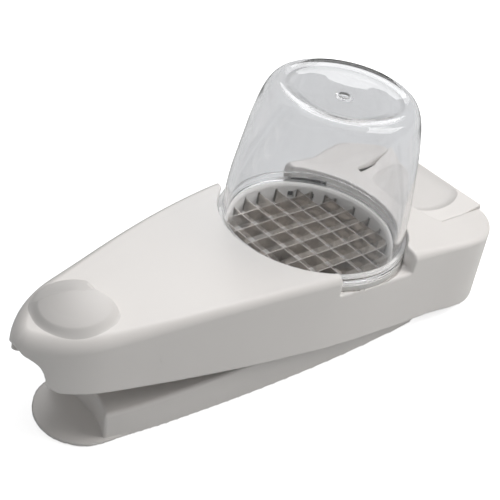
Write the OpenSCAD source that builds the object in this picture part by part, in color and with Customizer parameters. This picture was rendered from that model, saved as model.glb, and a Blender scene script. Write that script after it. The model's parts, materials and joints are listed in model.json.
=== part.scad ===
// Lever cutter that presses a potato through a square blade grid.
// +X points from the nose to the hinge, +Y to the far side, +Z up.
// The origin lies on the resting surface, straight below the centre of the
// blade ring when the lever is shut. Millimetres.

/* [Lever] */
// Angle at which the lever stands open, in degrees
lever_open = 7; // [0:0.5:12]
// Height of the hinge axis above the resting surface
pivot_z = 18.3; // [17.5:0.1:20]
// Distance of the hinge axis behind the centre of the ring
pivot_x = 76; // [75:0.5:78]
// Height of the blade tops above the resting surface with the lever shut
blade_plane = 32.3; // [31.8:0.1:34]
// Thickness of the lever shell
shell_t = 2.2; // [1.8:0.1:2.6]

/* [Blades] */
// Distance from one blade to the next
pitch = 10; // [9.5:0.5:10.5]
// Height of a blade
blade_h = 6.5; // [5:0.5:7]
// Thickness of a blade
blade_t = 0.4; // [0.3:0.1:0.7]
// Offset of the middle crosswise blade from the ring centre
grid_x = 1.5; // [0:0.5:2]
// Offset of the middle lengthwise blade from the ring centre
grid_y = -3.2; // [-4:0.2:0]

/* [Cassette] */
// Inner radius of the ring that holds the blades
ring_r = 37.4; // [37:0.1:37.6]
// Radius of the ring's flange
flange_r = 43.6; // [43:0.1:44]
// Radius of the round seat in the lever
seat_r = 43.9; // [43.8:0.1:44.2]

/* [Cup] */
// Height of the cup's roof above its flange
cup_h = 70.5; // [60:0.5:80]
// Wall thickness of the cup
cup_t = 2.2; // [1.6:0.1:2.6]

/* [Pusher] */
// Width of a pusher peg
peg_w = 6.4; // [5.4:0.2:7]
// Height of the peg tips above the resting surface
peg_top = 31.3; // [30:0.1:31.8]

/* [Base] */
// Wall thickness of the base
base_t = 2.2; // [1.8:0.1:2.6]
// Half width of the knuckle that carries the hinge pin
knuckle_y = 27; // [26:0.5:27.2]
// Radius of the hinge pin
pin_r = 2.5; // [2:0.1:3]

/* [Hidden] */
$fn = 96;

white = [0.93, 0.92, 0.90];
steel = [0.75, 0.76, 0.78];
clear = [0.85, 0.92, 0.95, 0.4];
black = [0.12, 0.12, 0.12];

base_z = 0.6;              // underside of the base, the grip pads lift it
deck_z = 20.6;             // flat deck in front of the hinge
well_z = 17.0;             // floor of the round well that holds the pusher
bush_r = 4.5;
ear_y0 = 27.8;             // the lever's hinge ears run from here
ear_y1 = 30.6;             // to here
frame_t = 3;               // the lever's inner plate
seat_t = 1.6;              // floor of the round seat

// ---- curves ---------------------------------------------------------------
// Catmull-Rom curve through hand placed points, n steps a span
function cr(a, b, c, d, t) =
    0.5 * (2*b + (c - a)*t + (2*a - 5*b + 4*c - d)*t*t + (3*b - a - 3*c + d)*t*t*t);
function curve(p, n = 4) = concat(
    [for (i = [0:len(p) - 2]) for (j = [0:n - 1])
        cr(p[max(i - 1, 0)], p[i], p[i + 1], p[min(i + 2, len(p) - 1)], j / n)],
    [p[len(p) - 1]]);
// one side of an outline, mirrored across the X axis
function both_sides(s) = concat(
    [for (p = s) [p.x, -p.y]],
    [for (i = [len(s) - 1:-1:1]) s[i]]);
// outline moved inwards by d (counter-clockwise outlines)
function inset(p, d) = [for (i = [0:len(p) - 1])
    let (a = p[(i + len(p) - 1) % len(p)], b = p[(i + 1) % len(p)],
         t = (b - a) / norm(b - a))
    p[i] + d * [-t.y, t.x]];

// lever: plan outline, one side from the nose tip to the middle of the rear end
lever_side = curve([[-154.2, 0], [-152.9, 4], [-150, 8], [-146.3, 11.8], [-141.8, 15.4],
    [-135.6, 19], [-128, 22], [-118, 24.5], [-108, 26.8], [-94, 30], [-75, 34], [-58, 37.2],
    [-40, 40.2], [-22, 42.6], [0, 44], [24, 45], [42, 46], [58, 47.4], [68, 46.9],
    [77, 43.2], [84, 37.4], [87.6, 31], [88.5, 24], [88.5, 10]]);
lever_plan = both_sides(lever_side);

// lever: top surface, z over x, in the lever's own frame (blade tops at z = 0)
lever_top = curve([[-154.2, -8], [-153.6, -5.2], [-151.5, -2.9], [-147, -1.0], [-140, 0.4],
    [-127, 1.7], [-116, 2.6], [-94, 5], [-66, 7.9], [-45, 9.4], [-25, 10.2], [0, 10.2],
    [24, 9.7], [42, 8.4], [61, 7.7], [88.5, 7.2]], 3);
lever_bottom = [[66, -29.3], [45, -28.3], [27, -28.6], [0, -28], [-40, -26.5], [-75, -26],
    [-110, -25.2], [-125, -24.7], [-140.5, -24], [-144.5, -22.4], [-148.5, -17.5], [-151.5, -12],
    [-154.2, -8.4]];

// base: plan outline, one side from the front wall to the hinge end
base_side = curve([[-121.6, 20.4], [-112, 23.3], [-99, 26.3], [-85, 28.8], [-70, 31.3],
    [-55, 33.5], [-40, 35.4], [-24, 37.2], [-1, 39.2], [24, 40.5], [36, 40.6], [43, 38],
    [47.2, 33.5], [48.6, 27]]);

module to_lever() {
    translate([pivot_x, 0, pivot_z]) rotate([0, lever_open, 0])
        translate([-pivot_x, 0, blade_plane - pivot_z]) children();
}

// bar along Y between y0 and y1
module ybar(r, y0, y1) {
    translate([0, y0, 0]) rotate([-90, 0, 0]) cylinder(r = r, h = y1 - y0);
}
// profile in X-Z, extruded along Y over the width w, centred
module side_view(pts, w) {
    translate([0, w/2, 0]) rotate([90, 0, 0]) linear_extrude(w) polygon(pts);
}

// ---- base -----------------------------------------------------------------
module base_plan(d = 0) {
    // body with its hollowed front wall
    difference() {
        polygon(d == 0 ? both_body() : inset(both_body(), d));
        translate([-165.4 + d, 0]) circle(r = 47, $fn = 120);
    }
}
function both_body() = concat(
    [for (p = base_side) [p.x, -p.y]], [for (i = [len(base_side) - 1:-1:0]) base_side[i]]);

knuckle_profile = [[44, base_z], [89.6, base_z], [91, 6], [91.4, 39], [60.4, 38.1],
    [59, 36.6], [58.2, 32], [57.2, 26], [55.6, 22.4], [53, deck_z], [44, deck_z]];

module knuckle_solid() {
    side_view(knuckle_profile, 2*knuckle_y);
}

foot_side = curve([[-140.5, 0], [-140.1, 4.3], [-138.6, 9.2], [-135.4, 14.3], [-130.4, 19],
    [-124, 21.4], [-118, 22.4], [-110, 23.9]]);
module foot_plan() {
    polygon(concat([for (p = foot_side) [p.x, -p.y]],
        [for (i = [len(foot_side) - 1:-1:1]) foot_side[i]]));
}

module base_outer() {
    intersection() {
        translate([0, 0, base_z]) linear_extrude(60) base_plan();
        side_view([[-130, 0], [60, 0], [60, deck_z], [0, deck_z], [-120, 15], [-130, 14.5]], 120);
    }
}

module base_inner() {
    intersection() {
        translate([0, 0, -1]) linear_extrude(60) base_plan(base_t);
        side_view([[-130, -2], [60, -2], [60, deck_z - base_t], [0, deck_z - base_t],
            [-120, 15 - base_t], [-130, 14.5 - base_t]], 120);
    }
}

// places of the screws that hold the bottom cover
cover_screws = [[-96, 17], [-96, -17], [-46, 27], [-46, -27], [61, 21.6], [61, -21.6]];
pusher_screws_at = [[-31, 0], [31, 0]];

module base_housing() {
    color(white) difference() {
        union() {
            difference() {
                union() { base_outer(); knuckle_solid(); }
                base_inner();
                // hollow of the knuckle
                side_view([[40, -2], [87, -2], [88.8, 8], [89, 33.4], [61.6, 33.2],
                    [60.6, 30], [59.4, 24.6], [57, 20], [54, 18.4], [40, 18.4]], 2*knuckle_y - 5);
            }
            // foot plate at the nose
            translate([0, 0, base_z]) linear_extrude(1.5) foot_plan();
            // wall and floor of the pusher's well
            translate([0, 0, well_z - 2]) intersection() {
                cylinder(r = 38.6, h = deck_z - well_z + 2 - 1);
                translate([-60, -60, 0]) cube([120, 120, 5.0]);
                translate([0, 0, -10]) linear_extrude(40) base_plan(0.5);
            }
            // screw bosses
            for (p = cover_screws) translate([p.x, p.y, 2.6]) cylinder(r = 3.2, h = p.x < -60 ? 12 : 14.2);
            // post that centres the spring
            translate([47.2, 0, deck_z - 2]) cylinder(r = 2.2, h = 5);
        }
        // well of the pusher
        translate([0, 0, well_z]) cylinder(r = 36.9, h = 20);
        // pilot holes of the cover screws
        for (p = cover_screws) translate([p.x, p.y, 0]) cylinder(r = 1.3, h = 11);
        for (p = pusher_screws_at) translate([p.x, p.y, 10]) cylinder(r = 1.6, h = 10);
        // bore for the hinge pin
        translate([pivot_x, 0, pivot_z]) ybar(pin_r, -30, 30);
        // finger scoop in the top of the knuckle
        scoop();
    }
}

module scoop() {
    intersection() {
        translate([76.6, 1.8, 38.6]) rotate_extrude()
            polygon([[0, -2.9], [10.9, -2.9], [13.9, -2.6], [16.9, -1.6], [18.9, -0.6], [19.9, 0], [21.5, 1.0],
                [21.5, 12], [0, 12]]);
        translate([50, -30, 30]) cube([40, 60, 30]);
    }
}

module bottom_cover() {
    color(white) difference() {
        intersection() {
            translate([0, 0, base_z]) linear_extrude(2) union() {
                base_plan(base_t + 0.15);
                translate([40, -(knuckle_y - 2.7)]) square([46.6, 2*(knuckle_y - 2.7)]);
            }
            translate([-109.6, -60, 0]) cube([220, 120, 20]);
        }
        for (p = cover_screws) translate([p.x, p.y, 0]) {
            cylinder(r = 1.7, h = 5);
            translate([0, 0, -1]) cylinder(r = 2.9, h = 2.8);
        }
    }
}

module bottom_cover_screws() {
    color(steel) for (p = cover_screws) translate([p.x, p.y, 0]) difference() {
        union() {
            translate([0, 0, 0.9]) cylinder(r = 2.6, h = 0.9);
            translate([0, 0, 1.8]) cylinder(r = 1.25, h = 8.2);
        }
        translate([-1.6, -0.3, 0.5]) cube([3.2, 0.6, 0.9]);
        translate([-0.3, -1.6, 0.5]) cube([0.6, 3.2, 0.9]);
    }
}

module nose_grip_pad() {
    color(black) difference() {
        translate([-117, 0, 0]) cylinder(r = 17, h = base_z);
        translate([-96, 17, -1]) cylinder(r = 3.4, h = 3);
        translate([-96, -17, -1]) cylinder(r = 3.4, h = 3);
    }
}
module centre_grip_pad() { color(black) cylinder(r = 28, h = base_z); }
module heel_grip_pad() {
    color(black) linear_extrude(base_z) union() {
        translate([72.5, -10]) square([11, 20]);
        translate([78, 10]) circle(r = 5.5);
        translate([78, -10]) circle(r = 5.5);
    }
}

// centres of the square cells between the blades
cell_x = [for (i = [-4:3]) grid_x + pitch*(i + 0.5)];
cell_y = [for (i = [-3:4]) grid_y + pitch*(i + 0.5)];

module peg(cx, cy) {
    translate([cx - peg_w/2, cy - peg_w/2, well_z + 1]) cube([peg_w, peg_w, peg_top - 2 - well_z - 1]);
    translate([cx, cy, peg_top - 2.01]) linear_extrude(2.01, scale = 0.72) square(peg_w, center = true);
}

module pusher_block() {
    color(white) difference() {
        union() {
            translate([0, 0, well_z]) cylinder(r = 36.7, h = 2.4);
            intersection() {
                union() for (cx = cell_x) for (cy = cell_y)
                    if (norm([cx, cy]) < 37.5) peg(cx, cy);
                translate([0, 0, well_z]) cylinder(r = 36.2, h = 20);
            }
        }
        for (p = pusher_screws_at) translate([p.x, p.y, well_z - 1]) cylinder(r = 1.05, h = 7);
    }
}

module pusher_screws() {
    color(steel) for (p = pusher_screws_at) translate([p.x, p.y, 0]) {
        translate([0, 0, well_z - 2 - 1.6]) cylinder(r = 2.8, h = 1.6);
        translate([0, 0, well_z - 2]) cylinder(r = 1.0, h = 7.5);
    }
}

module hinge_pin() {
    color(steel) translate([pivot_x, 0, pivot_z]) difference() {
        ybar(pin_r, -33.2, 33.2);
        for (s = [-1, 1]) translate([0, s*32.1, 0]) rotate([90, 0, 0]) difference() {
            cylinder(r = 4, h = 0.7, center = true);
            cylinder(r = 2, h = 1, center = true);
        }
    }
}

module pin_clips() {
    color(steel) translate([pivot_x, 0, pivot_z]) for (s = [-1, 1])
        translate([0, s*32.1, 0]) rotate([90, 0, 0]) difference() {
            cylinder(r = 4.4, h = 0.6, center = true);
            cylinder(r = 2.03, h = 1, center = true);
            translate([0, -1.4, -1]) cube([8, 2.8, 2]);
        }
}

// ---- return spring --------------------------------------------------------
spring_r = 3.05;
spring_n = 7;
spring_z0 = deck_z + 0.5;
spring_z1 = 30.6;
function helix(k, n) = let (a = 360*spring_n*k/n)
    [spring_r*cos(a), spring_r*sin(a), spring_z0 + (spring_z1 - spring_z0)*k/n];
module return_spring() {
    n = 16*spring_n; m = 6; w = 0.45;
    pts = [for (k = [0:n]) for (j = [0:m - 1])
        let (a = 360*spring_n*k/n, b = 360*j/m, c = helix(k, n))
        c + w*[cos(a)*cos(b), sin(a)*cos(b), sin(b)]];
    faces = concat(
        [[for (j = [0:m - 1]) j]],
        [for (k = [0:n - 1]) for (j = [0:m - 1]) [k*m + j, (k + 1)*m + j, (k + 1)*m + (j + 1)%m]],
        [for (k = [0:n - 1]) for (j = [0:m - 1]) [k*m + j, (k + 1)*m + (j + 1)%m, k*m + (j + 1)%m]],
        [[for (j = [m - 1:-1:0]) n*m + j]]);
    color(steel) translate([47.2, 0, 0]) polyhedron(pts, faces);
}

// ---- lever ----------------------------------------------------------------
module lever_volume(d = 0, top = 0, low = 0) {
    intersection() {
        translate([0, 0, -80]) linear_extrude(120)
            polygon(d == 0 ? lever_plan : inset(lever_plan, d));
        side_view(concat(
            [for (p = lever_top) [p.x, p.y - top]],
            [[100, 7.2 - top]],
            low == 0 ? concat([[100, -29.3]], lever_bottom) : [[100, -60], [-154.2, -60]]), 120);
    }
}

// the lower rear corner turns about the hinge, so that it clears the table
module heel_trim() {
    translate([pivot_x, 0, pivot_z - blade_plane]) difference() {
        translate([0, -60, -40]) cube([60, 120, 40]);
        ybar(17.4, -61, 61);
    }
}

frame_screws_at = [[-45, 24], [-45, -24], [40.5, 33], [40.5, -33]];

module arm_shell() {
    color(white) to_lever() difference() {
        union() {
            difference() {
                lever_volume();
                lever_volume(shell_t, 2.4, 1);
            }
            // wall and floor of the round seat, and the ends of its open sides
            intersection() {
                lever_volume(0.5);
                union() {
                    translate([0, 0, -seat_t]) cylinder(r = seat_r + 2.8, h = 20);
                    translate([-23.2, -60, -seat_t]) cube([48.6, 30, 20]);
                    translate([-25.4, 30, -seat_t]) cube([48.6, 30, 20]);
                }
            }
            // floor of the thumb recess
            intersection() {
                lever_volume(0.5);
                translate([-127, 0, -3.4]) cylinder(r = 19.2, h = 6);
            }
            // bosses for the screws of the inner plate
            for (p = frame_screws_at) intersection() {
                lever_volume(0.5);
                translate([p.x, p.y, -seat_t]) cylinder(r = 2.9, h = 20);
            }
        }
        // round seat, and the hole that the blade ring hangs through
        cylinder(r = seat_r, h = 30);
        translate([0, 0, -10]) cylinder(r = 40.2, h = 20);
        // the seat is open at both sides
        translate([-21.2, -56, 0.5]) cube([44.6, 22, 30]);
        translate([-23.4, 34, 0.5]) cube([44.6, 22, 30]);
        // two slots for the cup's bayonet, half a turn apart
        for (s = [-1, 1]) intersection() {
            translate([0, 0, 1]) linear_extrude(3.5) intersection() {
                polygon([[0, 0], [s*80*cos(36.5), s*80*sin(36.5)], [s*80*cos(50), s*80*sin(50)],
                         [s*60*cos(64), s*60*sin(64)]]);
                polygon(inset(lever_plan, 1.3));
            }
            difference() {
                cylinder(r = seat_r + 2.9, h = 10);
                translate([0, 0, -1]) cylinder(r = seat_r - 1, h = 20);
            }
        }
        // arch in the nose
        translate([-170, 0, 0]) rotate([90, 0, 90]) linear_extrude(36)
            polygon(let (h = curve([[0, -8.3], [3, -8.7], [6, -9.7], [8.6, -11.2], [10.4, -13.4],
                [11.6, -17], [12.2, -22], [12.4, -40]], 3))
                concat(h, [for (i = [len(h) - 1:-1:1]) [-h[i].x, h[i].y]]));
        // pocket around the knuckle
        translate([0, 0, -60]) linear_extrude(100) polygon(concat(
            [[120, 27.5]], [for (y = [27.5:-2.5:-27.5]) [54.7 + 3.5*pow(max(abs(y) - 10, 0)/17, 2), y]],
            [[120, -27.5]]));
        // shallow recess for the thumb pad
        translate([0, 0, -0.9]) intersection() {
            translate([-127, 0, 0]) cylinder(r = 17.4, h = 12);
            translate([-160, -30, 0]) cube([45.8, 60, 12]);
        }
        heel_trim();
        for (p = frame_screws_at) translate([p.x, p.y, -3]) cylinder(r = 1.15, h = 8);
    }
}

module arm_frame() {
    color(white) to_lever() difference() {
        union() {
            // plate under the seat
            difference() {
                intersection() {
                    translate([0, 0, -seat_t - frame_t]) linear_extrude(frame_t)
                        polygon(inset(lever_plan, shell_t + 0.3));
                    translate([-52, -60, -10]) cube([102, 120, 20]);
                }
                translate([0, 0, -10]) cylinder(r = 40.2, h = 20);
            }
            // hinge ears
            for (s = [-1, 1]) translate([0, s > 0 ? ear_y1 : -ear_y0, 0]) rotate([90, 0, 0])
                linear_extrude(ear_y1 - ear_y0)
                    polygon([[44, -0.1], [44, -6], [56, -20], [66, -27], [78, -28.5], [82.8, -26.5],
                        [84.3, -20], [84.3, 4.2], [52, 4.6]]);
        }
        // bores for the bushes
        translate([pivot_x, 0, pivot_z - blade_plane]) ybar(bush_r, -35, 35);
        for (p = frame_screws_at) translate([p.x, p.y, -10]) cylinder(r = 1.5, h = 20);
    }
}

module arm_frame_screws() {
    color(steel) to_lever() for (p = frame_screws_at) translate([p.x, p.y, 0]) {
        translate([0, 0, -seat_t - frame_t - 1.6]) cylinder(r = 2.5, h = 1.6);
        translate([0, 0, -seat_t - frame_t]) cylinder(r = 1.1, h = frame_t + 5.6);
    }
}

module thumb_pad() {
    // a raised pad: part of a sphere, round in plan, and cut straight at the rear
    color(white) to_lever() intersection() {
        translate([-127, 0, -0.9]) cylinder(r = 17.35, h = 12);
        translate([-118, 0, -37.6]) sphere(r = 46.1, $fn = 180);
        translate([-160, -30, -10]) cube([45.75, 60, 40]);
    }
}

module hinge_bushes() {
    color(black) to_lever() translate([pivot_x, 0, pivot_z - blade_plane]) for (s = [-1, 1])
        difference() {
            union() {
                ybar(bush_r, s > 0 ? ear_y0 : -31.1, s > 0 ? 31.1 : -ear_y0);
                ybar(6, s > 0 ? 27.3 : -ear_y0, s > 0 ? ear_y0 : -27.3);
            }
            ybar(pin_r + 0.05, -40, 40);
        }
}

// ---- blade cassette -------------------------------------------------------
function half_chord(r, c) = sqrt(r*r - c*c);
blade_end_r = 38.6;

module blade_slots() {
    for (k = [-3:3]) {
        c = grid_y + pitch*k; h = half_chord(blade_end_r + 0.15, c);
        translate([-h, c - blade_t/2 - 0.1, -blade_h - 0.05]) cube([2*h, blade_t + 0.2, blade_h + 0.05]);
        d = grid_x + pitch*k; g = half_chord(blade_end_r + 0.15, d);
        translate([d - blade_t/2 - 0.1, -g, -blade_h - 0.05]) cube([blade_t + 0.2, 2*g, blade_h + 0.05]);
    }
}

cassette_screws_at = [for (a = [22, 113, 202, 293]) [41.8*cos(a), 41.8*sin(a)]];

module cassette_ring() {
    color(white) to_lever() difference() {
        rotate_extrude() polygon([[ring_r, -blade_h], [39.8, -blade_h], [39.8, 0], [flange_r, 0],
            [flange_r, 2.7], [40.4, 2.7], [39.9, 3.6], [38.2, 3.7], [37.6, 2.9], [ring_r, 1.5]]);
        blade_slots();
        // three windows in the far wall
        for (a = [60.5, 45.5, 29.5]) rotate([0, 0, a]) translate([30, -1.7, -4]) cube([12, 3.4, 3.4]);
    }
}

module cassette_clamp_ring() {
    color(white) to_lever() difference() {
        rotate_extrude() polygon([[ring_r, -blade_h - 2.4], [39.2, -blade_h - 2.4], [39.8, -blade_h - 1.8],
            [39.8, -blade_h - 0.05], [ring_r, -blade_h - 0.05]]);
    }
}

module cassette_screws() {
    color(steel) to_lever() for (a = [45, 135, 225, 315]) rotate([0, 0, a])
        translate([38.6, 0, -blade_h - 2.9]) cylinder(r = 0.9, h = 0.5);
}

module long_blade(k) {
    c = grid_y + pitch*k; h = half_chord(blade_end_r, c);
    color(steel) to_lever() difference() {
        translate([-h, c - blade_t/2, -blade_h]) cube([2*h, blade_t, blade_h]);
        // notches from below for the crosswise blades
        for (j = [-3:3]) translate([grid_x + pitch*j - blade_t/2 - 0.05, c - 2, -blade_h - 1])
            cube([blade_t + 0.1, 4, blade_h/2 + 1.05]);
    }
}

module cross_blade(k) {
    c = grid_x + pitch*k; h = half_chord(blade_end_r, c);
    color(steel) to_lever() difference() {
        translate([c - blade_t/2, -h, -blade_h]) cube([blade_t, 2*h, blade_h]);
        // notches from above for the lengthwise blades
        for (j = [-3:3]) translate([c - 2, grid_y + pitch*j - blade_t/2 - 0.05, -blade_h/2 - 0.05])
            cube([4, blade_t + 0.1, blade_h/2 + 1.05]);
    }
}

// ---- cup ------------------------------------------------------------------
// outer wall, radius over height above the blade tops
cup_wall = curve([[41.4, 7.6], [41.4, 15], [40.9, 25], [39.8, 35], [38.4, 45], [37.2, 53],
    [35.8, 60], [34.5, 65], [32.8, 69], [30.9, 72], [29, 73.3]], 3);

module cup() {
    color(clear) to_lever() rotate_extrude() polygon(concat(
        [[38.0, 3.9], [40.9, 2.8], [43.4, 2.8], [43.4, 7.3], [43.1, 7.6]],
        cup_wall,
        [[26.3, 73.5], [24.2, 72.5], [20.6, 71.7], [14, 71.0], [7, 70.6], [3.9, 70.5], [3.6, 71.1], [2.4, 71.1],
         [1.9, 70.7], [0, 70.7], [0, 69.0], [26, 69.1], [29.5, 68.2]],
        [for (i = [len(cup_wall) - 6:-1:0]) [cup_wall[i].x - cup_t, cup_wall[i].y - 0.3]],
        [[38.9, 5]]));
}

// ---------------------------------------------------------------------------
base_housing();
bottom_cover();
bottom_cover_screws();
nose_grip_pad();
centre_grip_pad();
heel_grip_pad();
pusher_block();
pusher_screws();
hinge_pin();
pin_clips();
return_spring();
arm_shell();
arm_frame();
arm_frame_screws();
thumb_pad();
hinge_bushes();
cassette_ring();
cassette_clamp_ring();
cassette_screws();
long_blade(-3);  // long_blade_1
long_blade(-2);  // long_blade_2
long_blade(-1);  // long_blade_3
long_blade(0);  // long_blade_4
long_blade(1);  // long_blade_5
long_blade(2);  // long_blade_6
long_blade(3);  // long_blade_7
cross_blade(-3);  // cross_blade_1
cross_blade(-2);  // cross_blade_2
cross_blade(-1);  // cross_blade_3
cross_blade(0);  // cross_blade_4
cross_blade(1);  // cross_blade_5
cross_blade(2);  // cross_blade_6
cross_blade(3);  // cross_blade_7
cup();
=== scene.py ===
import json
import math

import bmesh
import bpy
import numpy as np
from mathutils import Matrix, Vector


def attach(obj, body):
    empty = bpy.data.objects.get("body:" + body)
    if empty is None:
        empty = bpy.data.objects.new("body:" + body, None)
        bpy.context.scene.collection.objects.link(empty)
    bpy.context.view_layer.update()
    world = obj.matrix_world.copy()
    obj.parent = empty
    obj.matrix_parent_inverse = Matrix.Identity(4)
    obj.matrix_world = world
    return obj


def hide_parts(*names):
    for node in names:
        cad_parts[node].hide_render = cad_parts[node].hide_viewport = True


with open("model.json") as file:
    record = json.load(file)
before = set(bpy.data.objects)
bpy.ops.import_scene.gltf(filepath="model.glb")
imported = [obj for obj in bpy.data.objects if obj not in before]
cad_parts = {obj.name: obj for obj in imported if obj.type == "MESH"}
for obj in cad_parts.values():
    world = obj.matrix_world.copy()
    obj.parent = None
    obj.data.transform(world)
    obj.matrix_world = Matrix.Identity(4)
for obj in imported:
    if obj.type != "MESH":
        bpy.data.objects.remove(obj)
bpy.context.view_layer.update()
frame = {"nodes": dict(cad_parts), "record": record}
nodes = frame["nodes"]
MM = 0.001

# ---------------------------------------------------------------- the frame
# Shapes are worked out in millimetres. Base pieces are in the row frame. Pieces
# on the lever are in the lever's own frame: z = 0 at the blade tops, x = 0 and
# y = 0 at the ring centre, and TO_ROW turns them open about the hinge.
PIVOT = (76.0, 18.3)          # x, z of the hinge in the row frame
BLADES_Z = 32.3               # blade tops above the table with the lever shut
OPEN = math.radians(7.0)


def to_row(v):
    v = np.asarray(v, float)
    x, z = v[..., 0] - PIVOT[0], v[..., 2] + BLADES_Z - PIVOT[1]
    c, s = math.cos(OPEN), math.sin(OPEN)
    out = np.empty_like(v)
    out[..., 0] = PIVOT[0] + c * x + s * z
    out[..., 1] = v[..., 1]
    out[..., 2] = PIVOT[1] - s * x + c * z
    return out


def turn_row(n):
    c, s = math.cos(OPEN), math.sin(OPEN)
    n = np.asarray(n, float)
    out = np.empty_like(n)
    out[..., 0] = c * n[..., 0] + s * n[..., 2]
    out[..., 1] = n[..., 1]
    out[..., 2] = -s * n[..., 0] + c * n[..., 2]
    return out


# ---------------------------------------------------------------- curves
def catmull(points, n=10):
    p = np.array(points, float)
    out = []
    for i in range(len(p) - 1):
        a, b = p[max(i - 1, 0)], p[i]
        c, d = p[i + 1], p[min(i + 2, len(p) - 1)]
        for t in np.arange(n) / n:
            out.append(0.5 * (2 * b + (c - a) * t + (2 * a - 5 * b + 4 * c - d) * t * t
                              + (3 * b - a - 3 * c + d) * t ** 3))
    out.append(p[-1])
    return np.array(out)


class Spline:
    """Natural cubic y(x) through given points, straight outside them."""

    def __init__(self, pts):
        p = np.array(sorted(pts), float)
        self.x, self.y = p[:, 0], p[:, 1]
        n = len(p)
        h = np.diff(self.x)
        A = np.zeros((n, n))
        r = np.zeros(n)
        A[0, 0] = A[-1, -1] = 1
        for i in range(1, n - 1):
            A[i, i - 1:i + 2] = h[i - 1], 2 * (h[i - 1] + h[i]), h[i]
            r[i] = 6 * ((self.y[i + 1] - self.y[i]) / h[i] - (self.y[i] - self.y[i - 1]) / h[i - 1])
        self.m = np.linalg.solve(A, r)
        self.h = h

    def __call__(self, x):
        x = np.asarray(x, float)
        q = np.clip(x, self.x[0], self.x[-1])
        i = np.clip(np.searchsorted(self.x, q) - 1, 0, len(self.h) - 1)
        h, a, b = self.h[i], self.x[i + 1] - q, q - self.x[i]
        m0, m1, y0, y1 = self.m[i], self.m[i + 1], self.y[i], self.y[i + 1]
        y = m0 * a ** 3 / (6 * h) + m1 * b ** 3 / (6 * h) + (y0 / h - m0 * h / 6) * a + (y1 / h - m1 * h / 6) * b
        s0 = (self.y[1] - self.y[0]) / self.h[0] - self.h[0] * self.m[1] / 6
        s1 = (self.y[-1] - self.y[-2]) / self.h[-1] + self.h[-1] * self.m[-2] / 6
        return y + np.minimum(x - self.x[0], 0) * s0 + np.maximum(x - self.x[-1], 0) * s1


class Plan:
    """Signed distance to a closed outline in the X-Y plane, read from a smooth table."""

    def __init__(self, outline, step=0.5, pad=8.0):
        p = np.array(outline, float)
        q = np.roll(p, -1, 0)
        lo, hi = p.min(0) - pad, p.max(0) + pad
        nx, ny = (np.ceil((hi - lo) / step) + 1).astype(int)
        X = (lo[0] + step * np.arange(nx))[:, None]
        Y = (lo[1] + step * np.arange(ny))[None, :]
        best = np.full((nx, ny), 1e18)
        inside = np.zeros((nx, ny), bool)
        for a, b in zip(p, q):
            e = b - a
            L = e @ e
            if L < 1e-12:
                continue
            t = np.clip(((X - a[0]) * e[0] + (Y - a[1]) * e[1]) / L, 0, 1)
            best = np.minimum(best, (X - a[0] - t * e[0]) ** 2 + (Y - a[1] - t * e[1]) ** 2)
            if a[1] != b[1]:
                cross = ((a[1] > Y) != (b[1] > Y)) & (X < (b[0] - a[0]) * (Y - a[1]) / (b[1] - a[1]) + a[0])
                inside ^= cross
        d = np.sqrt(best)
        d[inside] *= -1
        self.lo, self.step = lo, step
        self.t = np.pad(d, 2, mode="edge")

    def __call__(self, x, y):
        x, y = np.broadcast_arrays(np.asarray(x, float), np.asarray(y, float))
        n0, n1 = self.t.shape
        u = np.clip((x - self.lo[0]) / self.step + 2, 1, n0 - 3.001)
        v = np.clip((y - self.lo[1]) / self.step + 2, 1, n1 - 3.001)
        i, j = np.floor(u).astype(int), np.floor(v).astype(int)
        fu, fv = u - i, v - j

        def w(f):       # cubic B-spline weights, which also smooth the table
            return ((1 - f) ** 3 / 6, (3 * f ** 3 - 6 * f * f + 4) / 6,
                    (-3 * f ** 3 + 3 * f * f + 3 * f + 1) / 6, f ** 3 / 6)
        wu, wv = w(fu), w(fv)
        out = np.zeros(x.shape)
        for a in range(4):
            for b in range(4):
                out += wu[a] * wv[b] * self.t[i + a - 1, j + b - 1]
        return out


def smooth_both_sides(side):
    s = catmull(side)
    a = s * [1, -1]
    b = s[::-1]
    return np.vstack([a, b])


# ---------------------------------------------------------------- solids as distance fields
def rmax(a, b, r):
    """Intersection with a round edge of radius r."""
    return np.minimum(np.maximum(a, b), -r) + np.sqrt(np.maximum(a + r, 0) ** 2 + np.maximum(b + r, 0) ** 2)


def rmin(a, b, r):
    """Union with a fillet of radius r."""
    return np.maximum(np.minimum(a, b), r) - np.sqrt(np.maximum(r - a, 0) ** 2 + np.maximum(r - b, 0) ** 2)


def box3(x, y, z, lo, hi, r=0.0):
    c = [(a + b) / 2 for a, b in zip(lo, hi)]
    h = [(b - a) / 2 - r for a, b in zip(lo, hi)]
    q = [np.abs(v - m) - k for v, m, k in zip((x, y, z), c, h)]
    out = np.sqrt(sum(np.maximum(k, 0) ** 2 for k in q))
    return out + np.minimum(np.maximum(np.maximum(q[0], q[1]), q[2]), 0) - r


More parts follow.
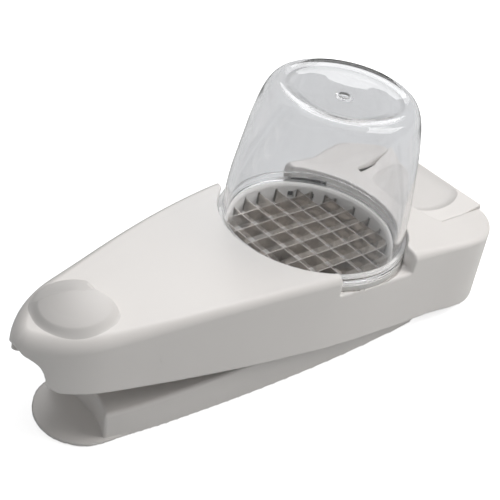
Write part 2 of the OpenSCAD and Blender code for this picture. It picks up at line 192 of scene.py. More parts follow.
def solid_part(f, lo, hi, h, lever=False, project=3, shade=None):
    """A quad mesh of the solid where f < 0, with its vertices moved onto f = 0 and exact normals."""
    lo, hi = np.array(lo, float), np.array(hi, float)
    n = np.ceil((hi - lo) / h).astype(int) + 1
    ax = [lo[k] + h * np.arange(n[k]) for k in range(3)]
    F = f(ax[0][:, None, None], ax[1][None, :, None], ax[2][None, None, :])
    F = np.broadcast_to(F, tuple(n)).astype(np.float32)
    I = F < 0
    c = np.zeros(tuple(n - 1), np.int8)
    for i in (0, 1):
        for j in (0, 1):
            for k in (0, 1):
                c += I[i:n[0] - 1 + i, j:n[1] - 1 + j, k:n[2] - 1 + k]
    act = (c > 0) & (c < 8)
    cells = np.argwhere(act)
    idx = np.full(tuple(n - 1), -1, np.int64)
    idx[act] = np.arange(len(cells))
    tot = np.zeros((len(cells), 3))
    cnt = np.zeros(len(cells))
    corners = [(i, j, k) for i in (0, 1) for j in (0, 1) for k in (0, 1)]
    vals = {q: F[cells[:, 0] + q[0], cells[:, 1] + q[1], cells[:, 2] + q[2]] for q in corners}
    for a in corners:
        for d in range(3):
            if a[d] == 0:
                b = tuple(v + (m == d) for m, v in enumerate(a))
                fa, fb = vals[a], vals[b]
                cr = (fa < 0) != (fb < 0)
                t = np.where(cr, fa / np.where(fa - fb == 0, 1, fa - fb), 0)
                pos = np.array(a, float)[None, :] + t[:, None] * (np.array(b) - np.array(a))[None, :]
                tot += pos * cr[:, None]
                cnt += cr
    v = (cells + tot / cnt[:, None]) * h + lo
    quads = []
    for d in range(3):
        e, g = (d + 1) % 3, (d + 2) % 3
        sl0 = [slice(None)] * 3
        sl1 = [slice(None)] * 3
        sl0[d], sl1[d] = slice(0, n[d] - 1), slice(1, n[d])
        A, B = I[tuple(sl0)], I[tuple(sl1)]
        cr = A != B
        p = np.argwhere(cr)
        ok = (p[:, e] > 0) & (p[:, g] > 0) & (p[:, e] < n[e] - 1) & (p[:, g] < n[g] - 1)
        p = p[ok]
        ins = A[p[:, 0], p[:, 1], p[:, 2]]

        def cell(de, dg):
            q = p.copy()
            q[:, e] += de
            q[:, g] += dg
            return idx[q[:, 0], q[:, 1], q[:, 2]]
        ring = np.stack([cell(-1, -1), cell(0, -1), cell(0, 0), cell(-1, 0)], 1)
        ring[~ins] = ring[~ins][:, ::-1]
        quads.append(ring)
    quads = np.vstack(quads)
    quads = quads[(quads >= 0).all(1)]
    e = 0.02

    def grad(q, f=f):
        g = np.empty_like(q)
        for k in range(3):
            s = [q[:, m] + (e if m == k else 0) for m in range(3)]
            t = [q[:, m] - (e if m == k else 0) for m in range(3)]
            g[:, k] = (f(*s) - f(*t)) / (2 * e)
        return g
    for _ in range(project):
        g = grad(v)
        L = np.maximum((g * g).sum(1), 0.2)
        step = g * (f(v[:, 0], v[:, 1], v[:, 2]) / L)[:, None]
        length = np.linalg.norm(step, axis=1, keepdims=True)
        v = v - step * np.minimum(1, 0.45 * h / np.maximum(length, 1e-9))
    g = grad(v, shade or f)
    g /= np.maximum(np.linalg.norm(g, axis=1, keepdims=True), 1e-9)
    if lever:
        v, g = to_row(v), turn_row(g)
    return v, quads, g


def solid_mesh(f, lo, hi, h, name, lever=False, project=3):
    return join_parts(name, solid_part(f, lo, hi, h, lever, project))


def join_parts(name, *parts):
    n, vs, qs, gs = 0, [], [], []
    for v, q, g in parts:
        vs.append(v)
        qs.append(q + n)
        gs.append(g)
        n += len(v)
    return make_mesh(name, np.vstack(vs), np.vstack(qs), np.vstack(gs))


def make_mesh(name, v, faces, normals=None, smooth=True):
    me = bpy.data.meshes.new(name)
    faces = np.asarray(faces)
    me.vertices.add(len(v))
    me.vertices.foreach_set("co", (np.asarray(v) * MM).astype(np.float32).ravel())
    k = faces.shape[1]
    me.loops.add(faces.size)
    me.loops.foreach_set("vertex_index", faces.astype(np.int32).ravel())
    me.polygons.add(len(faces))
    me.polygons.foreach_set("loop_start", (np.arange(len(faces)) * k).astype(np.int32))
    me.polygons.foreach_set("use_smooth", np.full(len(faces), smooth))
    me.update(calc_edges=True)
    me.validate()
    if normals is not None and len(me.vertices) == len(normals):
        me.normals_split_custom_set_from_vertices([tuple(x) for x in normals])
    ob = bpy.data.objects.new(name, me)
    bpy.context.scene.collection.objects.link(ob)
    return ob


def lathe(name, profile, n=160, lever=True, closed=True, sharp=35):
    """Turned piece: profile is a list of (radius, z), axis at the ring centre."""
    prof = np.array(profile, float)
    m = len(prof)
    a = 2 * math.pi * np.arange(n) / n
    v, first = [], []
    bm = bmesh.new()
    rings = []
    for r, z in prof:
        if r < 1e-6:
            p = to_row([[0, 0, z]])[0] if lever else np.array([0, 0, z])
            rings.append([bm.verts.new(Vector(p * MM))])
        else:
            q = np.stack([r * np.cos(a), r * np.sin(a), np.full(n, z)], 1)
            q = to_row(q) if lever else q
            rings.append([bm.verts.new(Vector(p * MM)) for p in q])
    pairs = [(i, i + 1) for i in range(m - 1)] + ([(m - 1, 0)] if closed else [])
    for i, j in pairs:
        A, B = rings[i], rings[j]
        for k in range(n):
            l = (k + 1) % n
            if len(A) == 1 and len(B) == 1:
                continue
            if len(A) == 1:
                bm.faces.new((A[0], B[l], B[k]))
            elif len(B) == 1:
                bm.faces.new((A[k], A[l], B[0]))
            else:
                bm.faces.new((A[k], A[l], B[l], B[k]))
    bmesh.ops.recalc_face_normals(bm, faces=bm.faces)
    for fa in bm.faces:
        fa.smooth = True
    for ed in bm.edges:
        if len(ed.link_faces) == 2 and ed.calc_face_angle(0) > math.radians(sharp):
            ed.smooth = False
    me = bpy.data.meshes.new(name)
    bm.to_mesh(me)
    bm.free()
    ob = bpy.data.objects.new(name, me)
    bpy.context.scene.collection.objects.link(ob)
    return ob


def round_profile(pts, n=5):
    """Rounds the corners of a closed (r, z) profile: each point is (r, z) or (r, z, radius)."""
    out = []
    m = len(pts)
    P = [np.array(p[:2], float) for p in pts]
    for i in range(m):
        rad = pts[i][2] if len(pts[i]) > 2 else 0
        if rad <= 0:
            out.append(tuple(P[i]))
            continue
        a, b, c = P[i - 1], P[i], P[(i + 1) % m]
        u, w = (a - b), (c - b)
        lu, lw = np.linalg.norm(u), np.linalg.norm(w)
        u, w = u / lu, w / lw
        ang = math.acos(max(-1, min(1, float(u @ w))))
        t = min(rad / math.tan(ang / 2), 0.49 * lu, 0.49 * lw)
        s, e = b + u * t, b + w * t
        for k in range(n + 1):
            q = k / n
            out.append(tuple((1 - q) ** 2 * s + 2 * q * (1 - q) * b + q * q * e))
    return out


# ---------------------------------------------------------------- materials
def material(name):
    m = bpy.data.materials.new(name)
    m.use_nodes = True
    nt = m.node_tree
    return m, nt, nt.nodes["Principled BSDF"]


def plastic(name, color, rough=0.34, var=0.02, bump=0.02):
    m, nt, p = material(name)
    tc = nt.nodes.new("ShaderNodeTexCoord")
    big = nt.nodes.new("ShaderNodeTexNoise")
    big.inputs["Scale"].default_value = 28
    big.inputs["Detail"].default_value = 3
    nt.links.new(tc.outputs["Object"], big.inputs["Vector"])
    mix = nt.nodes.new("ShaderNodeMix")
    mix.data_type = "RGBA"
    a = tuple(c * (1 - var) for c in color)
    b = tuple(min(1, c * (1 + var)) for c in color)
    mix.inputs["A"].default_value = (*a, 1)
    mix.inputs["B"].default_value = (*b, 1)
    nt.links.new(big.outputs["Fac"], mix.inputs["Factor"])
    nt.links.new(mix.outputs["Result"], p.inputs["Base Color"])
    fine = nt.nodes.new("ShaderNodeTexNoise")
    fine.inputs["Scale"].default_value = 900
    fine.inputs["Detail"].default_value = 2
    nt.links.new(tc.outputs["Object"], fine.inputs["Vector"])
    bp = nt.nodes.new("ShaderNodeBump")
    bp.inputs["Strength"].default_value = bump
    bp.inputs["Distance"].default_value = 0.0004
    nt.links.new(fine.outputs["Fac"], bp.inputs["Height"])
    nt.links.new(bp.outputs["Normal"], p.inputs["Normal"])
    mr = nt.nodes.new("ShaderNodeMapRange")
    mr.inputs["To Min"].default_value = rough - 0.05
    mr.inputs["To Max"].default_value = rough + 0.05
    nt.links.new(big.outputs["Fac"], mr.inputs["Value"])
    nt.links.new(mr.outputs["Result"], p.inputs["Roughness"])
    p.inputs["IOR"].default_value = 1.49
    p.inputs["Subsurface Weight"].default_value = 0.0
    return m


def metal(name, color, rough=0.28, streak=(40, 40, 2200), bump=0.05):
    m, nt, p = material(name)
    tc = nt.nodes.new("ShaderNodeTexCoord")
    mp = nt.nodes.new("ShaderNodeMapping")
    mp.inputs["Scale"].default_value = streak
    nt.links.new(tc.outputs["Object"], mp.inputs["Vector"])
    no = nt.nodes.new("ShaderNodeTexNoise")
    no.inputs["Scale"].default_value = 1.0
    no.inputs["Detail"].default_value = 4
    nt.links.new(mp.outputs["Vector"], no.inputs["Vector"])
    mr = nt.nodes.new("ShaderNodeMapRange")
    mr.inputs["To Min"].default_value = rough - 0.08
    mr.inputs["To Max"].default_value = rough + 0.1
    nt.links.new(no.outputs["Fac"], mr.inputs["Value"])
    nt.links.new(mr.outputs["Result"], p.inputs["Roughness"])
    bp = nt.nodes.new("ShaderNodeBump")
    bp.inputs["Strength"].default_value = bump
    bp.inputs["Distance"].default_value = 0.0002
    nt.links.new(no.outputs["Fac"], bp.inputs["Height"])
    nt.links.new(bp.outputs["Normal"], p.inputs["Normal"])
    mix = nt.nodes.new("ShaderNodeMix")
    mix.data_type = "RGBA"
    mix.inputs["A"].default_value = (*[c * 0.86 for c in color], 1)
    mix.inputs["B"].default_value = (*color, 1)
    nt.links.new(no.outputs["Fac"], mix.inputs["Factor"])
    nt.links.new(mix.outputs["Result"], p.inputs["Base Color"])
    p.inputs["Metallic"].default_value = 1.0
    return m


def clear_plastic(name):
    m, nt, p = material(name)
    p.inputs["Base Color"].default_value = (0.94, 0.945, 0.955, 1)
    p.inputs["Transmission Weight"].default_value = 1.0
    p.inputs["IOR"].default_value = 1.49
    tc = nt.nodes.new("ShaderNodeTexCoord")
    no = nt.nodes.new("ShaderNodeTexNoise")
    no.inputs["Scale"].default_value = 60
    nt.links.new(tc.outputs["Object"], no.inputs["Vector"])
    mr = nt.nodes.new("ShaderNodeMapRange")
    mr.inputs["To Min"].default_value = 0.01
    mr.inputs["To Max"].default_value = 0.05
    nt.links.new(no.outputs["Fac"], mr.inputs["Value"])
    nt.links.new(mr.outputs["Result"], p.inputs["Roughness"])
    lp = nt.nodes.new("ShaderNodeLightPath")
    tr = nt.nodes.new("ShaderNodeBsdfTransparent")
    tr.inputs["Color"].default_value = (0.93, 0.94, 0.95, 1)
    ms = nt.nodes.new("ShaderNodeMixShader")
    out = nt.nodes["Material Output"]
    nt.links.new(lp.outputs["Is Shadow Ray"], ms.inputs[0])
    nt.links.new(p.outputs["BSDF"], ms.inputs[1])
    nt.links.new(tr.outputs["BSDF"], ms.inputs[2])
    nt.links.new(ms.outputs["Shader"], out.inputs["Surface"])
    return m


def rubber(name):
    m, nt, p = material(name)
    tc = nt.nodes.new("ShaderNodeTexCoord")
    vo = nt.nodes.new("ShaderNodeTexVoronoi")
    vo.inputs["Scale"].default_value = 700
    nt.links.new(tc.outputs["Object"], vo.inputs["Vector"])
    bp = nt.nodes.new("ShaderNodeBump")
    bp.inputs["Strength"].default_value = 0.3
    bp.inputs["Distance"].default_value = 0.0003
    nt.links.new(vo.outputs["Distance"], bp.inputs["Height"])
    nt.links.new(bp.outputs["Normal"], p.inputs["Normal"])
    cr = nt.nodes.new("ShaderNodeMapRange")
    cr.inputs["To Min"].default_value = 0.7
    cr.inputs["To Max"].default_value = 0.9
    nt.links.new(vo.outputs["Distance"], cr.inputs["Value"])
    nt.links.new(cr.outputs["Result"], p.inputs["Roughness"])
    p.inputs["Base Color"].default_value = (0.035, 0.035, 0.037, 1)
    return m


WHITE = (0.80, 0.770, 0.745)
M_SHELL = plastic("shell_plastic", WHITE, rough=0.36)
M_BASE = plastic("base_plastic", (0.79, 0.76, 0.735), rough=0.38)
M_INNER = plastic("inner_plastic", (0.86, 0.845, 0.825), rough=0.4)
M_BUSH = plastic("bush_plastic", (0.05, 0.05, 0.05), rough=0.5)
# a darker copy of the inner plastic for the cassette ring: painted shade
M_RING_SHADE = plastic("ring_plastic_painted_shade", (0.64, 0.625, 0.605), rough=0.4)
# near-black plastic for the arm frame: painted shade
M_FRAME_SHADE = plastic("frame_plastic_painted_shade", (0.06, 0.06, 0.06), rough=0.55)
# rougher plastic for the thumb pad and the scoop, darker than the shell as painted shade
M_PAD_PAINTED_SHADE = plastic("pad_plastic_painted_shade", (0.70, 0.675, 0.655), rough=0.45)
M_BLADE = metal("blade_steel", (0.64, 0.595, 0.55), rough=0.13)
M_STEEL = metal("hardware_steel", (0.6, 0.6, 0.61), rough=0.32, streak=(300, 300, 300))
M_CUP = clear_plastic("cup_plastic")
M_RUBBER = rubber("grip_rubber")
BY_SLOT = {"shell_plastic": M_SHELL, "base_plastic": M_BASE, "inner_plastic": M_INNER,
           "bush_plastic": M_BUSH, "blade_steel": M_BLADE, "hardware_steel": M_STEEL,
           "cup_plastic": M_CUP, "grip_rubber": M_RUBBER}
SLOT_OF = {s["node"]: s["material_slot"] for s in frame["record"]["subparts"]}


def put(ob, mat_slot):
    ob.data.materials.clear()
    ob.data.materials.append(BY_SLOT[mat_slot])
    return ob


def stand_for(ob, body, slot, *cad):
    put(ob, slot)
    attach(ob, body)
    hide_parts(*cad)
    return ob


# every CAD node that stays visible gets its finish, except the arm frame, which gets near-black plastic as painted
# shade
for n, o in nodes.items():
    slot = SLOT_OF.get(n, n)
    o.data.materials.clear()
    o.data.materials.append(M_FRAME_SHADE if n == "arm_frame" else BY_SLOT[slot])

STEP = 0.8

# ---------------------------------------------------------------- lever shell
LEVER_SIDE = [(-154.2, 0), (-152.9, 4), (-150.0, 8), (-146.3, 11.8), (-141.8, 15.4),
              (-135.6, 19.0), (-128, 22.0), (-118, 24.5), (-108, 26.8), (-94, 30), (-75, 34), (-58, 37.2),
              (-40, 40.2), (-22, 42.6), (0, 44), (24, 45), (42, 46), (58, 47.4), (68, 46.9),
              (77, 43.2), (84, 37.4), (87.6, 31), (88.5, 24), (88.5, 10)]
lever_plan = Plan(smooth_both_sides(LEVER_SIDE))
lever_top = Spline([(-150, -0.9), (-140, 0.4), (-127, 1.7), (-116, 2.6), (-94, 5), (-66, 7.9),
                    (-45, 9.4), (-25, 10.2), (0, 10.3), (24, 9.7), (42, 8.4), (61, 7.7), (88.5, 7.2)])
lever_low = Spline([(-154, -23.6), (-138, -24.1), (-125, -24.7), (-110, -25.2), (-75, -26), (-40, -26.5), (0, -28), (27, -28.6),
                    (45, -28.3), (66, -29.3), (90, -29.3)])
edge_r = Spline([(-155, 6.4), (-143, 6.0), (-132, 5.4), (-118, 4.7), (-95, 3.8), (-60, 3.4), (30, 3.2), (45, 2.6), (90, 2.4)])


def cyl(x, y, r, cx=0.0, cy=0.0):
    return np.sqrt((x - cx) ** 2 + (y - cy) ** 2) - r


ARCH = np.array([(0, -8.3), (3, -8.7), (6, -9.7), (8.6, -11.2), (10.4, -13.4),
                 (11.6, -17), (12.2, -22), (12.4, -40)], float)
_arch = catmull(ARCH, 6)
arch_plan = Plan(np.vstack([_arch * [-1, 1], _arch[::-1][:-1]])[:, ::1], pad=14)


def f_lever(x, y, z):
    plan = lever_plan(x, y) + 0.028 * z
    top = (z - lever_top(x) + 0.0001 * y * y) * 0.995
    low = lever_low(x) + 6.5 * np.clip((-140.5 - x) / 8.0, 0, 2) ** 2 - z
    r = edge_r(x)
    outer = rmax(plan, top, r)
    outer = rmax(outer, low, 0.7)
    nose = np.clip((-118 - x) / 14, 0, 1) * 1.6
    hollow = rmax(plan + 2.2 + nose, top + 2.4 + nose, np.maximum(r - 2.3, 1.0))
    # the seat has a floor, and its open sides have end walls, so nothing inside shows
    ay = np.abs(y)
    rr = cyl(x, y, 0)
    flip = np.where(y > 0, -1.0, 1.0)       # the two sides are the same half a turn apart
    xf, yf = x * flip, y * flip
    closed = np.minimum(rr - 46.7, np.maximum(np.maximum(-23.2 - xf, xf - 25.4), 30 - ay))
    closed = np.maximum(closed, -1.6 - z)
    hollow = np.maximum(hollow, -closed)
    f = np.maximum(outer, -hollow)
    # floor of the thumb recess
    skin = rmax(plan, top, r)
    rt = cyl(x, y, 0, -127, 0)
    floor = np.maximum(np.maximum(rt - 19.2, -4.6 - z), skin + 1.2)
    f = np.minimum(f, floor)
    # round seat and its open sides
    seat = np.maximum(rr - 43.9, -z)
    f = rmax(f, -seat, 0.4)
    notch = rmax(np.maximum(-21.2 - xf, xf - 23.4 + 0.2 * (-38.3 - yf)), np.maximum(0.5 - z, 34 - ay), 0.8)
    f = rmax(f, -notch, np.where(x > 0, 1.5, 0.6))
    f = np.maximum(f, -np.maximum(rr - 40.2, -3 - z))
    # slots for the bayonet, open to the sides of the seat
    ang = np.degrees(np.arctan2(-yf, -xf))
    win = np.maximum(np.maximum((36.5 - ang) * 0.78, (ang - 64) * 0.78), np.abs(z - 2.75) - 1.75)
    win = np.maximum(np.maximum(win, np.abs(rr - 46.0) - 2.6), plan + 1.2)
    f = np.maximum(f, -win)
    # arch in the nose
    arch = np.maximum(arch_plan(y, z), x + 134)
    f = rmax(f, -arch, 1.0)
    # pocket round the knuckle
    front = 54.7 + 3.5 * (np.maximum(ay - 10, 0) / 17) ** 2
    pocket = rmax(front - x, ay - 27.5, 0.8)
    f = rmax(f, -pocket, 0.45)
    # lower rear corner
    heel = np.sqrt((x - PIVOT[0]) ** 2 + (z - PIVOT[1] + BLADES_Z) ** 2) - 17.4
    heel = np.minimum(heel, np.maximum(PIVOT[0] - x, -(z + BLADES_Z - PIVOT[1])) * -1)
    cut = np.where((x > PIVOT[0]) & (z < PIVOT[1] - BLADES_Z),
                   np.sqrt((x - PIVOT[0]) ** 2 + (z - PIVOT[1] + BLADES_Z) ** 2) - 17.4, -5.0)
    f = np.maximum(f, cut)
    return f


NOSE_STEP = 0.5
shell = join_parts(
    "lever_shell",
    solid_part(lambda x, y, z: np.maximum(f_lever(x, y, z) + 0.05 * np.clip((-103.9 - x) / 0.4, 0, 1), -108 - x),
               (-110, -50.5, -31.5), (91, 50.5, 13), STEP, True, 3, f_lever),
    solid_part(lambda x, y, z: np.maximum(f_lever(x, y, z), x + 103.2), (-157, -31, -28), (-101, 31, 6), NOSE_STEP,
               True, 3, f_lever))
stand_for(shell, "lever", "shell_plastic", "arm_shell")


def f_pad(x, y, z):
    u, v = x + 127, y
    ring = np.sqrt(u * u + v * v)
    # the face that the palm rests on: it rises from the nose and the near side, and levels off
    c0, c1 = u - 9.0, v - 3.0
    dist = np.sqrt(c0 * c0 + c1 * c1)
    b = (9.0 * c0 + 3.0 * c1) / np.sqrt(dist * dist + 9.0)
    reach = -b + np.sqrt(np.maximum(b * b - 90.0 + 18.6 ** 2, 0.01))
    q = np.clip(dist / reach, 0, 1)
    # its foot runs out softly towards the nose and the near side
    az = np.degrees(np.arctan2(v, u))
    near = np.clip(1.8 - np.abs((az + 315) % 360 - 180) / 78.0, 0, 1)
    k = np.clip((18.6 - ring) / 4.4, 0, 1)
    face = 7.2 * (1 - q ** 2.0) ** 0.86 * (1 - near * (1 - k * k * (3 - 2 * k))) - 0.12 * near * np.clip(ring / 10.0, 0, 1) ** 2
    side = rmax(ring - 17.4 - 1.1 * near, u - 12.8, 0.5)
    # the far flank and the rear one are even slopes, and meet the face in a crease
    far = np.exp(-((az - 66.0) / 84.0) ** 6)
    flank = 0.3 + np.where(far > 0.02, 0.44 / np.maximum(far, 0.02), 26.0) * np.maximum(17.4 - ring, 0)
    back = 0.7 + 0.62 / np.clip((v + 11.8) / 20.0, 0.03, 1) * np.maximum(12.8 - u, 0)
    skin = rmax(lever_plan(x, y) + 0.028 * z, (z - lever_top(x) + 0.0001 * y * y) * 0.995, edge_r(x))
    f = rmax(side, (skin - np.minimum(face, np.minimum(flank, back))) * 0.7, 0.25)
    return np.maximum(f, np.maximum(-4.4 - z, -1.6 - skin))


pad = solid_mesh(f_pad, (-147, -20, -5), (-107, 19, 12), 0.45, "thumb_pad_skin", lever=True)
stand_for(pad, "lever", "shell_plastic", "thumb_pad")
pad.data.materials[0] = M_PAD_PAINTED_SHADE          # the same plastic, rougher, and darker than the shell as painted shade

# ---------------------------------------------------------------- base housing
BASE_SIDE = [(-121.6, 20.4), (-112, 23.3), (-99, 26.3), (-85, 28.8), (-70, 31.3),
             (-55, 33.5), (-40, 35.4), (-24, 37.2), (-1, 39.2), (24, 40.5), (36, 40.6), (43, 38),
             (47.2, 33.5), (48.6, 27)]
_b = catmull(BASE_SIDE)
base_body = np.vstack([np.array([(-135, -17.5)]), _b * [1, -1], _b[::-1], np.array([(-135, 17.5)])])
base_plan = Plan(base_body)
FOOT_SIDE = [(-140.5, 0), (-140.1, 4.3), (-138.6, 9.2), (-135.4, 14.3), (-130.4, 19),
             (-124, 21.4), (-118, 22.4), (-110, 23.9)]
foot_plan = Plan(smooth_both_sides(FOOT_SIDE))
deck = Spline([(-130, 14.53), (-120, 15), (-60, 17.8), (-12, 20.0), (2, 20.55), (20, 20.6), (60, 20.6)])
KN = catmull([(91.2, 20), (91.4, 38.9)], 2)
kn_poly = np.array([(44, 0.6), (89.6, 0.6), (91, 6), (91.4, 39), (75, 38.5), (60.4, 38.1), (59, 36.6), (58.2, 32),
                    (57.2, 26), (55.6, 22.4), (53, 20.6), (44, 20.6)])
knuckle_side = Plan(kn_poly)
kn_in = np.array([(40, -6), (87, -6), (88.8, 8), (89, 32.0), (61.6, 31.8), (60.6, 30), (59.4, 24.6), (57, 20),
                  (54, 18.4), (40, 18.4)])
knuckle_in = Plan(kn_in)


def scoop_plan(x, y):
    return rmax(np.sqrt((x - 76.6) ** 2 + (y - 1.8) ** 2) - 19.9, x - 90.6, 3.0)


def f_base(x, y, z):
    bite = 47 - np.sqrt((x + 165.4) ** 2 + y * y)          # hollowed front wall
    plan = rmax(base_plan(x, y), bite, 1.4) + 0.02 * (z - 8)
    top = (z - deck(x)) * 0.998
    outer = rmax(plan, top, 1.6)
    kn = rmax(knuckle_side(x, z), np.abs(y) - 27.0, 0.6)
    f = rmin(outer, kn, 2.0)
    inner = rmax(plan + 2.2, top + 2.2, 1.0)
    inner = np.minimum(inner, np.maximum(knuckle_in(x, z), np.abs(y) - 24.4))
    f = np.maximum(f, -inner)
    # foot plate
    foot = rmax(foot_plan(x, y), np.abs(z - 1.35) - 0.75, 0.5)
    f = rmin(f, foot, 0.4)
    # well of the pusher
    rr = cyl(x, y, 0)
    cup = np.maximum(np.maximum(rr - 38.6, 15 - z), np.maximum(z - 19.4, plan + 0.6))
    f = np.minimum(f, cup)
    f = rmax(f, -np.maximum(rr - 36.9, 17 - z), 0.5)
    # screw bosses and the spring's post
    for cx, cy in ((-96, 17), (-46, 27), (61, 21.6)):
        b = np.maximum(np.sqrt((x - cx) ** 2 + (np.abs(y) - cy) ** 2) - 3.2, np.maximum(2.6 - z, z - 14.4))
        f = np.minimum(f, b)
        f = np.maximum(f, -np.maximum(np.sqrt((x - cx) ** 2 + (np.abs(y) - cy) ** 2) - 1.3, z - 11))
    post = rmax(np.sqrt((x - 47.2) ** 2 + y * y) - 2.2, np.abs(z - 21.1) - 2.5, 0.5)
    f = np.minimum(f, post)
    # hinge pin bore
    f = np.maximum(f, -np.maximum(np.sqrt((x - PIVOT[0]) ** 2 + (z - PIVOT[1]) ** 2) - 2.5, np.abs(y) - 40))
    # finger scoop in the top of the knuckle
    dish = scoop_plan(x, y)
    # its floor falls towards the front
    t = np.clip(-dish / 5.5, 0, 1)
    lid = 38.1 + (x - 60.4) * 0.029 - (0.8 + 1.6 * np.clip((91.5 - x) / 33.0, 0, 1)) * t * (2 - t)
    f = np.where((dish < 0) & (z > 33), np.maximum(f, (z - lid) * 0.86), f)
    return np.maximum(f, 0.6 - z)


FINE = 0.42
housing = join_parts(
    "base_shell",
    solid_part(lambda x, y, z: np.maximum(f_base(x, y, z), z - 34.8), (-142.5, -43, -1.0), (93.5, 43, 36.5), STEP),
    solid_part(lambda x, y, z: np.maximum(f_base(x, y, z), 34.8 - z), (56, -28.5, 34.2), (93.5, 28.5, 41.5), FINE))
stand_for(housing, "base", "base_plastic", "base_housing")
# the scoop gets the thumb pad's rougher plastic, darker as painted shade
housing.data.materials.append(M_PAD_PAINTED_SHADE)
centre = np.zeros(3 * len(housing.data.polygons))
housing.data.polygons.foreach_get("center", centre)
centre = centre.reshape(-1, 3) / MM
dull_painted_shade = (scoop_plan(centre[:, 0], centre[:, 1]) < -0.3) & (centre[:, 2] > 34.9)
housing.data.polygons.foreach_set("material_index", dull_painted_shade.astype(np.int32))

# ---------------------------------------------------------------- pusher
GX, GY, PITCH = 1.5, -3.2, 10.0
cells = [(GX + PITCH * (i + 0.5), GY + PITCH * (j + 0.5)) for i in range(-4, 4) for j in range(-3, 5)]


def f_pusher(x, y, z):
    rr = cyl(x, y, 0)
    f = rmax(rr - 36.7, np.abs(z - 18.2) - 1.2, 0.4)
    ux = (x - GX) % PITCH - PITCH / 2
    uy = (y - GY) % PITCH - PITCH / 2
    taper = 0.0 * z + np.maximum(z - 29.0, 0) * 0.40
    q = rmax(np.abs(ux) - 3.2 + taper, np.abs(uy) - 3.2 + taper, 0.8)
    q = rmax(q, z - 31.3, 0.5)
    ex = np.floor((x - GX) / PITCH) * PITCH + GX + PITCH / 2
    ey = np.floor((y - GY) / PITCH) * PITCH + GY + PITCH / 2
    far = np.where(np.sqrt(ex ** 2 + ey ** 2) < 37.5, -10.0, 2.0)
    q = np.maximum(np.maximum(q, rr - 36.2), np.maximum(17.5 - z, far))
    return np.minimum(f, q)


pusher = solid_mesh(f_pusher, (-38, -38, 16), (38, 38, 32.5), 0.7, "pusher_pegs")
stand_for(pusher, "base", "inner_plastic", "pusher_block")

# ---------------------------------------------------------------- cassette ring
RING = Plan(round_profile([
    (37.4, -6.5), (39.8, -6.5), (39.8, 0, 0.2), (43.6, 0, 0.3), (43.6, 2.7, 0.5), (40.6, 2.7, 0.5),
    (40.0, 3.7, 0.5), (38.3, 3.7, 0.6), (37.5, 2.6, 0.5), (37.4, 1.5)]), step=0.1, pad=3.0)


def f_ring(x, y, z):
    rr = cyl(x, y, 0)
    f = RING(rr, z + 0 * rr)
    # slots that the blade ends stand in
    ux = (x - GX + PITCH / 2) % PITCH - PITCH / 2
    uy = (y - GY + PITCH / 2) % PITCH - PITCH / 2
    side = np.where((np.abs(x - GX) < 3.5 * PITCH), np.abs(ux + 0.2) - 0.6, 9.0)
    slot = np.where((np.abs(y - GY) < 3.5 * PITCH), np.abs(uy) - 0.6, 9.0)
    cut = np.maximum(np.minimum(side, slot), np.maximum(rr - 39.3, z - 0.6))
    f = np.maximum(f, -cut)
    # three windows in the far wall
    for a in (60.5, 45.5, 29.5):
        t = math.radians(a)
        u = x * math.cos(t) + y * math.sin(t)
        w = -x * math.sin(t) + y * math.cos(t)
        win = np.maximum(np.maximum(np.abs(w) - 1.7, np.abs(z + 2.3) - 1.7), np.maximum(30 - u, u - 42.0))
        f = np.maximum(f, -win)
    return f


ring = solid_mesh(f_ring, (-44.5, -44.5, -7.2), (44.5, 44.5, 4.4), 0.42,
                  "cassette_ring_skin", lever=True)
stand_for(ring, "cassette", "inner_plastic", "cassette_ring")
# the ring's white plastic is made darker here as painted shade
ring.data.materials[0] = M_RING_SHADE

# ---------------------------------------------------------------- cup
OUT = catmull([(41.5, 8.2), (41.5, 15), (41.0, 25), (39.8, 35), (38.5, 45), (37.4, 53),
               (36.1, 60), (34.9, 65), (33.4, 69), (31.4, 72), (28.9, 73.6)], 5)
IN = catmull([(28.2, 71.2), (30.2, 69.9), (31.8, 67), (32.9, 63.5), (33.9, 59), (35.1, 53), (36.2, 45),
              (37.5, 35), (38.7, 25), (39.2, 15), (39.2, 7)], 5)
cup_profile = round_profile(
    [(38.9, 4.6, 0.4), (39.4, 2.85, 0.3), (43.4, 2.85, 0.4), (43.4, 4.5, 0.25), (42.9, 4.85, 0.25), (43.4, 5.2, 0.25),
     (43.4, 7.6, 0.6), (41.6, 7.9, 0.4)]) + [tuple(p) for p in OUT] + round_profile(
    [(27.4, 73.9), (26.3, 73.9, 0.5), (24.6, 73.5), (22.6, 72.6)])[0:0]
cup_profile += [(27.6, 74.0), (26.6, 73.9), (25.6, 73.4), (24.2, 72.6), (22.6, 71.9), (20.6, 71.6),
                (17.5, 71.35), (14.0, 71.0), (10.0, 70.7), (7.0, 70.52), (3.9, 70.4), (3.6, 70.9), (3.1, 71.2), (2.4, 71.1), (1.9, 70.7), (0, 70.6),
                (0, 68.9), (8, 68.95), (16, 69.15), (20.5, 69.6), (23.5, 70.4), (26, 71.2)] + [tuple(p) for p in IN]
cup = lathe("cup_shell", cup_profile, n=192, sharp=60)
stand_for(cup, "cup", "cup_plastic", "cup")

# ---------------------------------------------------------------- stage
def plane(name, z, color, glow):
    me = bpy.data.meshes.new(name)
    S = 3.0
    me.from_pydata([(-S, -S, z), (S, -S, z), (S, S, z), (-S, S, z)], [], [(0, 1, 2, 3)])
    ob = bpy.data.objects.new(name, me)
    bpy.context.scene.collection.objects.link(ob)
    m, nt, p = material(name + "_paper")
    p.inputs["Base Color"].default_value = (*color, 1)
    p.inputs["Roughness"].default_value = 0.9
    p.inputs["Specular IOR Level"].default_value = 0.2
    p.inputs["Emission Color"].default_value = (1, 1, 1, 1)
    p.inputs["Emission Strength"].default_value = glow
    me.materials.append(m)
    return ob


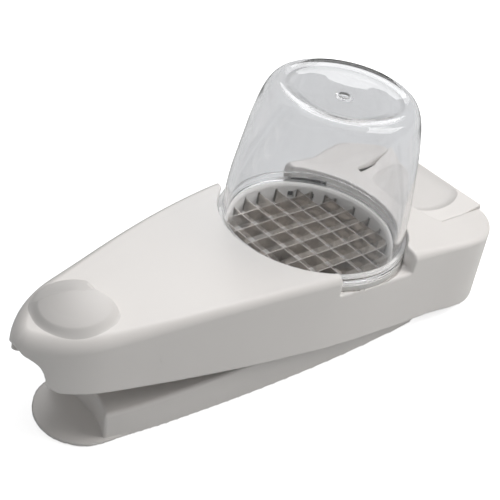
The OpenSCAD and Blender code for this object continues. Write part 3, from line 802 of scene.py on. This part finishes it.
floor = plane("floor", 0.0, (0.85, 0.85, 0.85), 0.72)
floor.visible_transmission = False
floor.visible_diffuse = False
floor.visible_glossy = False
floor.visible_shadow = False
bounce = plane("floor_bounce", -0.0003, (0.45, 0.46, 0.46), 0.13)
bounce.visible_camera = False
bounce.visible_transmission = False
bounce.visible_shadow = False
# what shows through the clear cup is a shade greyer than the paper itself
under = plane("floor_behind_glass", -0.0005, (0.25, 0.253, 0.26), 0.60)
under.visible_camera = False
under.visible_diffuse = False
under.visible_glossy = False
under.visible_shadow = False

scene = bpy.context.scene
scene.view_settings.view_transform = "Standard"
scene.view_settings.look = "None"
world = bpy.data.worlds.new("studio")
scene.world = world
world.use_nodes = True
bg = world.node_tree.nodes["Background"]
bg.inputs["Color"].default_value = (0.975, 0.99, 1, 1)
bg.inputs["Strength"].default_value = 0.29
# the room seen through the clear plastic is paler than the light it gives
through = world.node_tree.nodes.new("ShaderNodeBackground")
through.inputs["Color"].default_value = (1, 1, 1, 1)
through.inputs["Strength"].default_value = 0.5
path = world.node_tree.nodes.new("ShaderNodeLightPath")
either = world.node_tree.nodes.new("ShaderNodeMixShader")
world.node_tree.links.new(path.outputs["Is Transmission Ray"], either.inputs[0])
world.node_tree.links.new(bg.outputs["Background"], either.inputs[1])
world.node_tree.links.new(through.outputs["Background"], either.inputs[2])
world.node_tree.links.new(either.outputs["Shader"], world.node_tree.nodes["World Output"].inputs["Surface"])


def area(name, loc, target, size, power, size_y=None, color=(1, 1, 1)):
    L = bpy.data.lights.new(name, "AREA")
    L.shape = "RECTANGLE"
    L.size = size
    L.size_y = size_y or size
    L.energy = power
    L.color = color
    ob = bpy.data.objects.new(name, L)
    scene.collection.objects.link(ob)
    ob.location = loc
    d = Vector(target) - Vector(loc)
    ob.rotation_euler = d.to_track_quat("-Z", "Y").to_euler()
    return ob


def aim(az, el, dist):
    a, e = math.radians(az), math.radians(el)
    return (dist * math.cos(e) * math.cos(a), dist * math.cos(e) * math.sin(a), 0.06 + dist * math.sin(e))


# the main softbox stands behind and to the right, a wide one hangs overhead
key = area("key", aim(-31, 42, 1.8), (0, 0, 0.06), 1.2, 20.5, color=(1, 0.985, 0.97))
key.visible_glossy = False
area("overhead", aim(30, 72, 1.3), (0, 0, 0.06), 1.3, 4.5)
# a panel that only shows as a reflection, in the roof and the shoulder of the cup
panel = area("panel", aim(38, 52, 1.2), (0, 0, 0.12), 1.02, 9)
panel.visible_diffuse = False
panel.visible_transmission = False
panel.visible_camera = False
# a pale wall that only shows through the clear plastic
wall = plane("wall", 0.0, (0.5, 0.5, 0.51), 0.55)
wall.rotation_euler = (math.radians(90), 0, math.radians(46 - 90))
wall.location = (1.05, 1.09, 0.5)
wall.visible_camera = False
wall.visible_diffuse = False
wall.visible_glossy = False
wall.visible_shadow = False

# ---------------------------------------------------------------- camera
cam_data = bpy.data.cameras.new("camera")
cam = bpy.data.objects.new("camera", cam_data)
scene.collection.objects.link(cam)
scene.camera = cam
cam_data.sensor_width = 36.0
cam_data.lens = 86.4
cam_data.clip_start = 0.01
fwd = Vector((0.5459, 0.5636, -0.6200)).normalized()
right = Vector((0.7640, -0.6385, 0.0924))
right = (right - fwd * right.dot(fwd)).normalized()
up = right.cross(fwd)
cam.matrix_world = Matrix((
    (right.x, up.x, -fwd.x, -0.3182), (right.y, up.y, -fwd.y, -0.2939),
    (right.z, up.z, -fwd.z, 0.3711), (0, 0, 0, 1)))

bpy.context.view_layer.update()
